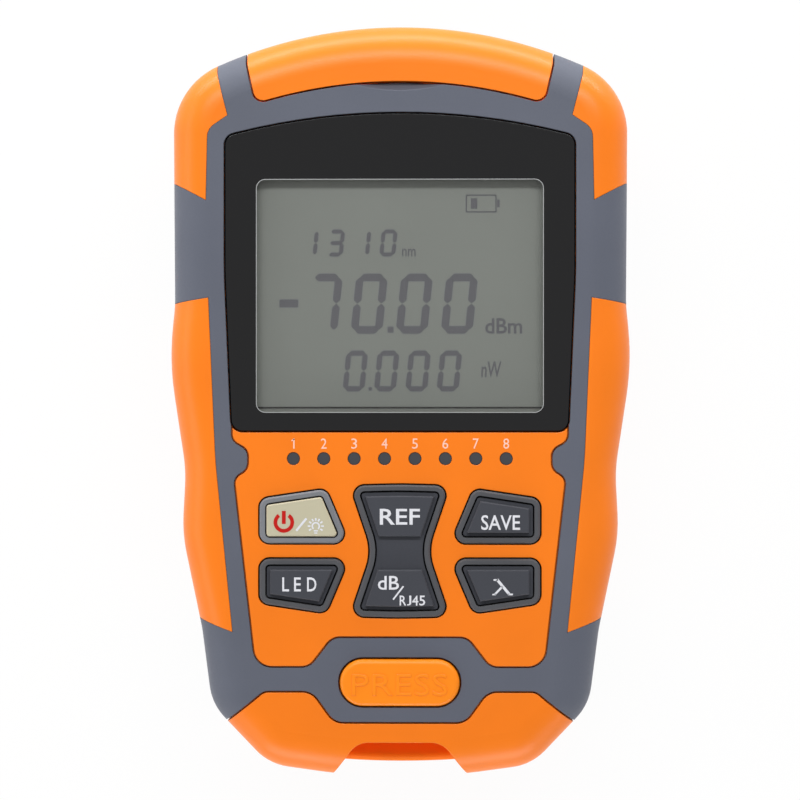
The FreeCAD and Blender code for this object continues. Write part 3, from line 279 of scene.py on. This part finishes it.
# Reflecting polariser of a liquid crystal panel: grey-green and slightly pearly.
lcd_film = finish("reflecting_polariser", "757973", 0.5, grain=0.2, depth=0.001, edge=0.02, mottle=0.025,
                  patch=20.0)
# Liquid crystal that is switched on: a neutral dark grey with no shine of its own.
lcd_dye = finish("liquid_crystal_segment", "606064", 0.6, grain=0.2, depth=0.0, edge=0.01, mottle=0.02,
                 Specular_IOR_Level=0.1)
# Painted shadow of the segments on the reflector behind them, seen through the front glass: between their
# tone and the film's.
lcd_segment_shadow = finish("liquid_crystal_segment_painted_shadow", "6e7170", 0.5, grain=0.2, depth=0.0, edge=0.01,
                   mottle=0.02)
# Float glass with polarising film on it: dark and glossy.
lcd_glass = finish("liquid_crystal_glass", "3a3b39", 0.1, grain=1.0, depth=0.0, edge=0.05)
# Screen-printing inks: flat and opaque.
white_ink = finish("white_printing_ink", "d9dae0", 0.5, grain=0.15, depth=0.002, edge=0.01, mottle=0.03,
                   patch=1.0)
pale_ink = finish("pale_printing_ink", "f6c8b4", 0.5, grain=0.15, depth=0.002, edge=0.01, mottle=0.03,
                  patch=1.0)
red_ink = finish("red_printing_ink", "b8140e", 0.5, grain=0.15, depth=0.002, edge=0.01, mottle=0.03,
                 patch=1.0, Specular_IOR_Level=0.2)
# Smoked acrylic, moulded, of the light guides under the indicator holes: dark, with a soft shine.
smoked_acrylic = finish("acrylic_light_guide_smoked", "2c2e34", 0.35, grain=0.4, depth=0.0, edge=0.1)
# Rolled and drawn steel, zinc plated: a cool grey shine.
sheet_steel = finish("steel_sheet_bright", "b4b4b6", 0.3, grain=0.25, depth=0.002, edge=0.08, Metallic=1.0)
# Nickel plate on turned brass: a warmer and sharper shine than the steel's.
nickel = finish("nickel_plated_brass", "c6c2b8", 0.22, grain=0.25, depth=0.001, edge=0.12, Metallic=1.0)
# Turned brass, not plated: yellow.
brass = finish("brass_turned", "c9a054", 0.28, grain=0.25, depth=0.002, edge=0.1, Metallic=1.0)
# Aluminium laid on a moulded bowl in a vacuum: a mirror.
mirror_bowl = finish("aluminised_bowl", "dcdcde", 0.08, grain=0.5, depth=0.0, edge=0.1, Metallic=1.0)
# Glass-epoxy board under green solder mask: deep green and glossy, with the weave barely showing.
solder_mask = finish("solder_mask_green", "0f4a2a", 0.3, grain=0.5, depth=0.004, edge=0.05, mottle=0.08,
                     patch=4.0)
# Moulded diffusing plastic: a soft white.
white_plastic = finish("white_plastic_moulded", "e2e2dc", 0.45, grain=0.4, depth=0.004, edge=0.15)
# Moulded nylon of the jacks: near black, with a dull shine.
black_nylon = finish("black_nylon_moulded", "17171a", 0.45, grain=0.4, depth=0.006, edge=0.12)
# Heat-shrunk film round the cells: smooth and slightly wavy.
shrink_sleeve = finish("cell_shrink_sleeve", "2c4468", 0.25, grain=3.0, depth=0.01, edge=0.2, mottle=0.05)
# Foam tape: black, open-celled and without any shine.
black_foam = finish("foam_tape_black", "101011", 0.9, grain=0.25, depth=0.05, edge=0.05)

painted = {
    orange_abs: ["front_shell", "back_shell", "top_cover", "battery_door"],
    button_abs: ["release_button"],
    remote_abs_painted_shade: ["remote_case", "remote_cover"],
    grey_elastomer: ["front_grip_skin", "back_grip_skin"],
    ring_silicone: ["keypad_mat"],
    cap_silicone: ["key_led", "key_save", "key_wavelength", "key_ref_db"],
    pale_silicone: ["key_power"],
    smoked_acrylic: ["light_pipe_bar"],
    sheet_steel: ["lcd_frame", "key_domes", "button_spring", "cover_hinge_pin", "contact_springs",
                  "housing_screws", "board_screws"],
    nickel: ["power_meter_port", "photodetector", "laser_port", "contact_plates"],
    brass: ["laser_module"],
    mirror_bowl: ["torch_reflector"],
    white_plastic: ["torch_led", "lcd_backlight", "indicator_leds"],
    solder_mask: ["main_board", "remote_board"],
    black_nylon: ["main_jack", "remote_jack"],
    shrink_sleeve: ["battery_cell_1", "battery_cell_2", "battery_cell_3"],
    black_foam: ["window_tape", "lcd_gasket"],
    lcd_glass: ["lcd_glass"],
    black_acrylic: ["display_window"],
}
for material, names in painted.items():
    for name in names:
        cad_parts[name].material_slots[0].material = material


# ================================================================ making pieces
def piece(name, mesh, material, body):
    """A finished piece in the scene, riding on a body. Its mesh is in millimetres until here."""
    bmesh.ops.transform(mesh, matrix=Matrix.Scale(MM, 4), verts=mesh.verts)
    data = bpy.data.meshes.new(name)
    mesh.to_mesh(data)
    mesh.free()
    data.materials.append(material)
    data.shade_smooth()
    data.set_sharp_from_angle(angle=math.radians(SMOOTH_BELOW))
    made = bpy.data.objects.new(name, data)
    bpy.context.scene.collection.objects.link(made)
    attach(made, body)
    return made


def thickened(drawing, foot, thick):
    """A flat drawing raised to a solid that stands at the height foot."""
    raised = bmesh.ops.extrude_face_region(drawing, geom=drawing.faces[:])
    top = [v for v in raised["geom"] if isinstance(v, bmesh.types.BMVert)]
    bmesh.ops.translate(drawing, verts=top, vec=(0, 0, thick))
    bmesh.ops.translate(drawing, verts=drawing.verts, vec=(0, 0, foot))
    bmesh.ops.recalc_face_normals(drawing, faces=drawing.faces)
    return drawing


def bar(drawing, start, end, width, pointed=False):
    """A straight stroke between two points, with square or pointed ends."""
    along = Vector(end) - Vector(start)
    made = bmesh.ops.create_grid(drawing, x_segments=1, y_segments=1, size=0.5)["verts"]
    bmesh.ops.scale(drawing, verts=made, vec=(along.length, width, 1))
    if pointed:
        cut = bmesh.ops.bevel(drawing, geom=made, offset=width * POINTED_END, offset_type="OFFSET",
                              segments=1, profile=0.5, affect="VERTICES", material=-1)
        made = cut["verts"]
    turn = Matrix.Rotation(math.atan2(along.y, along.x), 4, "Z")
    middle = (Vector(start) + Vector(end)) / 2
    bmesh.ops.transform(drawing, matrix=Matrix.Translation(middle.to_3d()) @ turn, verts=made)
    return made


def arc(drawing, centre, radius, width, start, sweep):
    """A curved stroke round a centre; angles are in degrees."""
    ends = [drawing.verts.new((centre[0] + radius + side * width / 2, centre[1], 0)) for side in (-1, 1)]
    edge = drawing.edges.new(ends)
    bmesh.ops.rotate(drawing, cent=(*centre, 0), matrix=Matrix.Rotation(math.radians(start), 3, "Z"),
                     verts=ends)
    bmesh.ops.spin(drawing, geom=ends + [edge], cent=(*centre, 0), axis=(0, 0, 1), angle=math.radians(sweep),
                   steps=ARC_STEPS, use_merge=abs(sweep) >= 360)


def rounded_plate(left, right, foot, head, radius, z0, z1, rim=0.0):
    """A plate with rounded corners. With a rim it is only a frame of that width."""
    plate = bmesh.new()
    made = bmesh.ops.create_grid(plate, x_segments=1, y_segments=1, size=0.5)["verts"]
    bmesh.ops.scale(plate, verts=made, vec=(right - left, head - foot, 1))
    bmesh.ops.translate(plate, verts=made, vec=((left + right) / 2, (foot + head) / 2, 0))
    bmesh.ops.bevel(plate, geom=made, offset=radius, offset_type="OFFSET", segments=CORNER_STEPS,
                    profile=0.5, affect="VERTICES", material=-1)
    if rim:
        bmesh.ops.inset_region(plate, faces=plate.faces[:], thickness=rim, use_boundary=True,
                               use_even_offset=True)
        inner = max(plate.faces, key=lambda face: face.calc_area())
        bmesh.ops.delete(plate, geom=[inner], context="FACES")
    return thickened(plate, z0, z1 - z0)


def lettering(name, words, box, foot, material, body, weight=0.0, slant=0.0, thick=INK):
    """Words that fill a box and stand on a face at the height foot."""
    curve = bpy.data.curves.new(name, "FONT")
    curve.body = words
    curve.offset = weight
    curve.shear = slant
    curve.resolution_u = LETTER_STEPS
    typed = bpy.data.objects.new(name + "_typed", curve)
    bpy.context.scene.collection.objects.link(typed)
    bpy.context.view_layer.update()
    flat = bpy.data.meshes.new_from_object(typed.evaluated_get(bpy.context.evaluated_depsgraph_get()))
    drawing = bmesh.new()
    drawing.from_mesh(flat)
    bpy.data.objects.remove(typed)
    bpy.data.curves.remove(curve)
    bpy.data.meshes.remove(flat)
    bmesh.ops.remove_doubles(drawing, verts=drawing.verts, dist=LETTER_MERGE)
    left, right, low, high = box
    xs = [v.co.x for v in drawing.verts]
    ys = [v.co.y for v in drawing.verts]
    wider, taller = (right - left) / (max(xs) - min(xs)), (high - low) / (max(ys) - min(ys))
    fitted = (Matrix.Translation((left, low, 0)) @ Matrix.Diagonal((wider, taller, 1, 1))
              @ Matrix.Translation((-min(xs), -min(ys), 0)))
    bmesh.ops.transform(drawing, matrix=fitted, verts=drawing.verts)
    return piece(name, thickened(drawing, foot, thick), material, body)


# ================================================================ display window
def merged_copy(node):
    """A copy of a node's mesh, in millimetres, its triangles joined and its flat faces made one."""
    mesh = bmesh.new()
    mesh.from_mesh(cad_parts[node].data)
    bmesh.ops.transform(mesh, matrix=Matrix.Scale(1 / MM, 4), verts=mesh.verts)
    bmesh.ops.remove_doubles(mesh, verts=mesh.verts, dist=MERGE)
    bmesh.ops.dissolve_limit(mesh, angle_limit=math.radians(FLAT_BELOW), verts=mesh.verts, edges=mesh.edges)
    return mesh


def as_object(name, mesh):
    """A plain object for a modifier to work with."""
    data = bpy.data.meshes.new(name)
    mesh.to_mesh(data)
    mesh.free()
    made = bpy.data.objects.new(name, data)
    bpy.context.scene.collection.objects.link(made)
    return made


def cut_away(mesh, tool):
    """The first mesh less the second."""
    body, cutter = as_object("cut_body", mesh), as_object("cut_tool", tool)
    change = body.modifiers.new("cut", "BOOLEAN")
    change.operation = "DIFFERENCE"
    change.object = cutter
    bpy.context.view_layer.update()
    result = bmesh.new()
    result.from_mesh(body.evaluated_get(bpy.context.evaluated_depsgraph_get()).data)
    for leftover in (body, cutter):
        data = leftover.data
        bpy.data.objects.remove(leftover)
        bpy.data.meshes.remove(data)
    return result


def make_window():
    """The display's acrylic window: a printed border, the clear middle and a painted highlight along its
    edge.
    """
    left, right, foot, head = WINDOW
    hole = rounded_plate(left, right, foot, head, WINDOW_ROUND, LENS_FOOT - BEYOND, LENS_TOP + BEYOND)
    border = cut_away(merged_copy("display_window"), hole)
    made = piece("window_border", border, black_acrylic, "meter")
    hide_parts("display_window")
    pane = rounded_plate(left + PANE_GAP, right - PANE_GAP, foot + PANE_GAP, head - PANE_GAP, WINDOW_ROUND,
                         LENS_FOOT + PANE_GAP, LENS_TOP - PANE_GAP)
    piece("window_pane", pane, clear_acrylic, "meter")
    # A thin pale ring as the painted highlight of the clear middle's edge.
    line = rounded_plate(left, right, foot, head, WINDOW_ROUND, LENS_TOP - EDGE_LINE_DEPTH,
                         LENS_TOP + EDGE_LINE_PROUD, rim=EDGE_LINE)
    piece("window_edge_highlight", line, edge_highlight_acrylic, "meter")


# ================================================================ liquid crystal display
def numeral(drawing, figure, left, foot, width, height, thick, spread):
    """A seven-segment numeral, its strokes wider by spread on each side."""
    low, middle, high = foot + thick / 2, foot + height / 2, foot + height - thick / 2
    near, far = left + thick / 2, left + width - thick / 2
    ends = {"a": ((near, high), (far, high)), "b": ((far, middle), (far, high)),
            "c": ((far, low), (far, middle)), "d": ((near, low), (far, low)),
            "e": ((near, low), (near, middle)), "f": ((near, middle), (near, high)),
            "g": ((near, middle), (far, middle))}
    gap = thick * SEGMENT_GAP
    made = []
    for segment in LIT[figure]:
        start, end = Vector(ends[segment][0]), Vector(ends[segment][1])
        step = (end - start).normalized() * gap
        made += bar(drawing, start + step, end - step, thick + 2 * spread, pointed=True)
    lean = Matrix(((1, SLANT, 0, -SLANT * foot), (0, 1, 0, 0), (0, 0, 1, 0), (0, 0, 0, 1)))
    bmesh.ops.transform(drawing, matrix=lean, verts=made)


def figures(spread):
    """The lit segments, drawn wider by spread all round."""
    drawing = bmesh.new()
    for numerals, left, foot, pitch, width, height, stroke in NUMERAL_ROWS:
        for i, figure in enumerate(numerals):
            numeral(drawing, figure, left + pitch * i, foot, width, height, stroke, spread)
    for left, right, middle, stroke in DASHES:
        bar(drawing, (left - spread, middle), (right + spread, middle), stroke + 2 * spread)
    return drawing


def battery_sign(drawing):
    """The outline of a battery, its cap and its charge."""
    left, right, foot, head = BATTERY_CASE
    for start, end in (((left, foot), (right, foot)), ((left, head), (right, head)),
                       ((left, foot), (left, head)), ((right, foot), (right, head))):
        bar(drawing, start, end, BATTERY_STROKE)
    for middle, low, high, stroke in BATTERY_BARS:
        bar(drawing, (middle, low), (middle, high), stroke)


def make_display():
    """The panel's reflecting film and everything that shows on it."""
    left, right, foot, head = WINDOW
    film = rounded_plate(left - FILM_MARGIN, right + FILM_MARGIN, FILM_FOOT, head + FILM_MARGIN, FILM_ROUND,
                         GLASS_TOP, FILM_TOP)
    piece("lcd_film", film, lcd_film, "meter")
    strip = rounded_plate(left - FILM_MARGIN, right + FILM_MARGIN, foot - FILM_MARGIN, FILM_FOOT - STRIP_GAP,
                          FILM_ROUND, GLASS_TOP, FILM_TOP - STRIP_DROP)
    piece("lcd_film_strip", strip, lcd_film, "meter")
    drawing = figures(0.0)
    battery_sign(drawing)
    surface = FILM_TOP - DYE_SINK
    # Painted shadow of the segments: the same figures drawn wider, under them.
    shade = thickened(figures(SHADOW_SPREAD), surface, DYE_THICK / 2)
    piece("lcd_numerals_painted_shadow", shade, lcd_segment_shadow, "meter")
    piece("lcd_numerals", thickened(drawing, surface, DYE_THICK), lcd_dye, "meter")
    for name, word, box, weight, lean in UNITS:
        lettering(name, word, box, surface, lcd_dye, "meter", weight=weight, slant=lean,
                  thick=DYE_THICK)


# ================================================================ legends on the keys and the panel
def make_power_sign():
    """Ring with a gap and a bar, beside a slash and a lamp sign."""
    top = CAP_TOP - INK_SINK
    ring = bmesh.new()
    arc(ring, POWER_SIGN, radius=1.36, width=0.6, start=125, sweep=290)
    piece("power_sign_ring", thickened(ring, top, INK), red_ink, "power_key")
    upright = bmesh.new()
    x, y = POWER_SIGN
    low, high, stroke = POWER_STEM
    bar(upright, (x, y + low), (x, y + high), stroke)
    piece("power_sign_bar", thickened(upright, top, INK), red_ink, "power_key")
    lamp = bmesh.new()
    bar(lamp, *POWER_SLASH)
    arc(lamp, LAMP_SIGN, radius=0.56, width=0.26, start=-50, sweep=280)
    x, y = LAMP_SIGN
    for half, height, stroke in LAMP_SOCKET:
        bar(lamp, (x - half, y + height), (x + half, y + height), stroke)
    near, far, stroke = LAMP_RAY
    for angle in LAMP_RAYS:
        ray = Vector((math.cos(math.radians(angle)), math.sin(math.radians(angle))))
        bar(lamp, Vector(LAMP_SIGN) + ray * near, Vector(LAMP_SIGN) + ray * far, stroke)
    piece("lamp_sign", thickened(lamp, top, INK), white_ink, "power_key")


def make_wavelength_sign():
    """The Greek letter for wavelength, with its serifs."""
    sign = bmesh.new()
    for start, end, stroke in WAVELENGTH_STROKES:
        bar(sign, start, end, stroke)
    piece("wavelength_sign", thickened(sign, CAP_TOP - INK_SINK, INK), white_ink, "wavelength_key")


def make_legends():
    """The words on the keys, the numerals at the indicators and the word moulded on the release button."""
    for name, words, box, body, weight in LEGENDS:
        top = ROCKER_TOP if body == "ref_db_key" else CAP_TOP
        lettering(name, words, box, top - INK_SINK, white_ink, body, weight=weight)
    slash = bmesh.new()
    bar(slash, *SLASH)
    piece("slash_legend", thickened(slash, ROCKER_TOP - INK_SINK, INK), white_ink, "ref_db_key")
    first = -INDICATOR_PITCH * (INDICATORS - 1) / 2
    stem = first + ONE_SHIFT
    one = bmesh.new()
    bar(one, (stem, NUMERAL_FOOT), (stem, NUMERAL_HEAD), ONE_STROKE)
    start, end, stroke = ONE_FLAG
    bar(one, Vector((stem, NUMERAL_HEAD)) + Vector(start), Vector((stem, NUMERAL_HEAD)) + Vector(end), stroke)
    piece("indicator_numeral_1", thickened(one, FACE - INK_SINK, INK), pale_ink, "meter")
    for i in range(1, INDICATORS):
        middle = first + INDICATOR_PITCH * i
        box = (middle - NUMERAL_HALF, middle + NUMERAL_HALF, NUMERAL_FOOT, NUMERAL_HEAD)
        lettering("indicator_numeral_%d" % (i + 1), str(i + 1), box, FACE - INK_SINK, pale_ink, "meter")
    lettering("button_word", "PRESS", BUTTON_WORD, BUTTON_TOP - WORD_SINK, button_abs, "release_button",
              thick=WORD_THICK)


# ================================================================ metal parts
def make_screw_drives():
    """The housing screws with the cross recess of their heads.

    A recess is cut one slot after the other, because crossing slots in one tool leave no mesh.
    """
    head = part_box("housing_screws")[0].z / MM
    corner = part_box("housing_screws")[1] / MM
    screws = merged_copy("housing_screws")
    for reach_x, reach_y in ((CROSS_REACH, 0), (0, CROSS_REACH)):
        slots = bmesh.new()
        for x, y in ((corner.x - HEAD_RADIUS, corner.y - HEAD_RADIUS), LOWER_SCREW):
            for side in (-1, 1):
                bar(slots, (side * x - reach_x, y - reach_y), (side * x + reach_x, y + reach_y), CROSS_WIDTH)
        screws = cut_away(screws, thickened(slots, head - BEYOND, BEYOND + CROSS_DEPTH))
    made = piece("housing_screws_crossed", screws, sheet_steel, "meter")
    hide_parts("housing_screws")


def make_button_spring():
    """The release button's spring, copied into a piece with a mesh of its own."""
    made = piece("button_spring_coil", merged_copy("button_spring"), sheet_steel, "meter")
    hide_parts("button_spring")
    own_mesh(made)


def make_port_thread():
    """Ridges of the screw thread on the power meter's adapter."""
    port = [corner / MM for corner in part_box("power_meter_port")]
    middle_z = (port[0].z + port[1].z) / 2
    ridges = bmesh.new()
    for turn in range(THREAD_TURNS):
        y = port[1].y - THREAD_PITCH * (turn + THREAD_INSET)
        crest = [ridges.verts.new((THREAD_RADIUS + out, y + along, middle_z))
                 for out, along in THREAD_PROFILE]
        edges = [ridges.edges.new((crest[i - 1], crest[i])) for i in range(len(crest))]
        bmesh.ops.spin(ridges, geom=crest + edges, cent=(0, y, middle_z), axis=(0, 1, 0), angle=math.tau,
                       steps=THREAD_STEPS, use_merge=True)
    bmesh.ops.recalc_face_normals(ridges, faces=ridges.faces)
    piece("adapter_thread", ridges, nickel, "meter")


make_screw_drives()
make_button_spring()
make_port_thread()
make_window()
make_display()
make_power_sign()
make_wavelength_sign()
make_legends()


# ================================================================ studio
FLOOR_HALF = 2.0                                   # half its width, in metres
FLOOR_DROP = 0.1                                   # keeps the floor clear of the meter's back
FLOOR_WHITE = 0.95                                 # share of plain white to the camera; the rest is lit paper
FLOOR_MIRRORED = 0.5                               # the same to a glossy face
DOME_LEVEL = 0.37
LAMPS = (                                          # name, place, width and height in metres, watts
    ("key_softbox", (0.0, 0.39, 0.53), 0.8, 0.09, 3.4),
    ("back_strip", (0.0, 0.4, 0.045), 0.8, 0.07, 2.1),
    ("front_softbox", (0.0, -0.5, 0.11), 0.8, 0.2, 1.9),
    ("left_softbox", (-0.62, 0.0, 0.2), 0.8, 0.25, 1.1),
)
WHITE = (1, 1, 1, 1)
SENSOR = 36.0


def make_floor():
    """A wide pale floor: white to the camera, with the meter's soft shadow, and open from below."""
    floor = bmesh.new()
    bmesh.ops.create_grid(floor, x_segments=1, y_segments=1, size=FLOOR_HALF)
    bmesh.ops.translate(floor, verts=floor.verts, vec=(0, 0, -FLOOR_DROP * MM))
    data = bpy.data.meshes.new("floor")
    floor.to_mesh(data)
    floor.free()
    material = bpy.data.materials.new("white_paper_floor")
    material.use_nodes = True
    tree = material.node_tree
    paper = tree.nodes["Principled BSDF"]
    paper.inputs["Base Color"].default_value = linear("f2f2f2")
    paper.inputs["Roughness"].default_value = 0.9
    paper.inputs["Specular IOR Level"].default_value = 0.1
    glow = add(tree, "Emission", {"Color": WHITE, "Strength": 1.0})
    path = add(tree, "LightPath")
    seen = add(tree, "Math", {1: FLOOR_WHITE}, {0: path.outputs["Is Camera Ray"]}, operation="MULTIPLY")
    lifted = add(tree, "Math", {1: FLOOR_MIRRORED}, {0: path.outputs["Is Glossy Ray"]}, operation="MULTIPLY")
    either = add(tree, "Math", None, {0: seen.outputs[0], 1: lifted.outputs[0]}, operation="ADD")
    blend = add(tree, "MixShader", None, {0: either.outputs[0], 1: paper.outputs[0], 2: glow.outputs[0]})
    below = add(tree, "NewGeometry").outputs["Backfacing"]
    opened = add(tree, "MixShader", None, {0: below, 1: blend.outputs[0],
                                           2: add(tree, "BsdfTransparent").outputs[0]})
    tree.links.new(opened.outputs[0], tree.nodes["Material Output"].inputs["Surface"])
    data.materials.append(material)
    made = bpy.data.objects.new("floor", data)
    bpy.context.scene.collection.objects.link(made)


def make_world():
    """White to the camera and in reflections, an even soft dome to matt surfaces."""
    world = bpy.data.worlds.new("studio")
    bpy.context.scene.world = world
    world.use_nodes = True
    tree = world.node_tree
    dome = tree.nodes["Background"]
    dome.inputs["Color"].default_value = WHITE
    dome.inputs["Strength"].default_value = DOME_LEVEL
    seen = add(tree, "Background", {"Color": WHITE, "Strength": 1.0})
    path = add(tree, "LightPath")
    either = add(tree, "Math", None, {0: path.outputs["Is Camera Ray"], 1: path.outputs["Is Glossy Ray"]},
                 operation="MAXIMUM")
    clear = add(tree, "Math", None, {0: either.outputs[0], 1: path.outputs["Is Transmission Ray"]},
                operation="MAXIMUM")
    blend = add(tree, "MixShader", None, {0: clear.outputs[0], 1: dome.outputs[0], 2: seen.outputs[0]})
    tree.links.new(blend.outputs[0], tree.nodes["World Output"].inputs["Surface"])


def softbox(name, place, width, height, watts):
    """A rectangular lamp that faces the middle of the display side."""
    data = bpy.data.lights.new(name, "AREA")
    data.shape = "RECTANGLE"
    data.size = width
    data.size_y = height
    data.energy = watts
    lamp = bpy.data.objects.new(name, data)
    lamp.location = place
    towards = Vector((0, 0, FACE * MM)) - Vector(place)
    lamp.rotation_euler = towards.to_track_quat("-Z", "Y").to_euler()
    bpy.context.scene.collection.objects.link(lamp)


def make_camera():
    """Above the display and very slightly to its right, with the port end at the top."""
    height = 400.0                                 # above the front face
    across = 128.9                                 # width of the view there
    aside = 6.0                                    # how far the camera is to the right of its aim
    aim = Vector((0.04, 0.15, FACE)) * MM
    data = bpy.data.cameras.new("camera")
    data.sensor_width = SENSOR
    data.lens = SENSOR * height / across
    data.clip_start = 0.01
    camera = bpy.data.objects.new("camera", data)
    camera.location = aim + Vector((aside, 0, height)) * MM
    camera.rotation_euler = (0, math.atan2(aside, height), 0)
    bpy.context.scene.collection.objects.link(camera)
    bpy.context.scene.camera = camera


make_floor()
make_world()
for lamp in LAMPS:
    softbox(*lamp)
make_camera()
bpy.context.scene.view_settings.view_transform = "Standard"

bpy.context.view_layer.update()
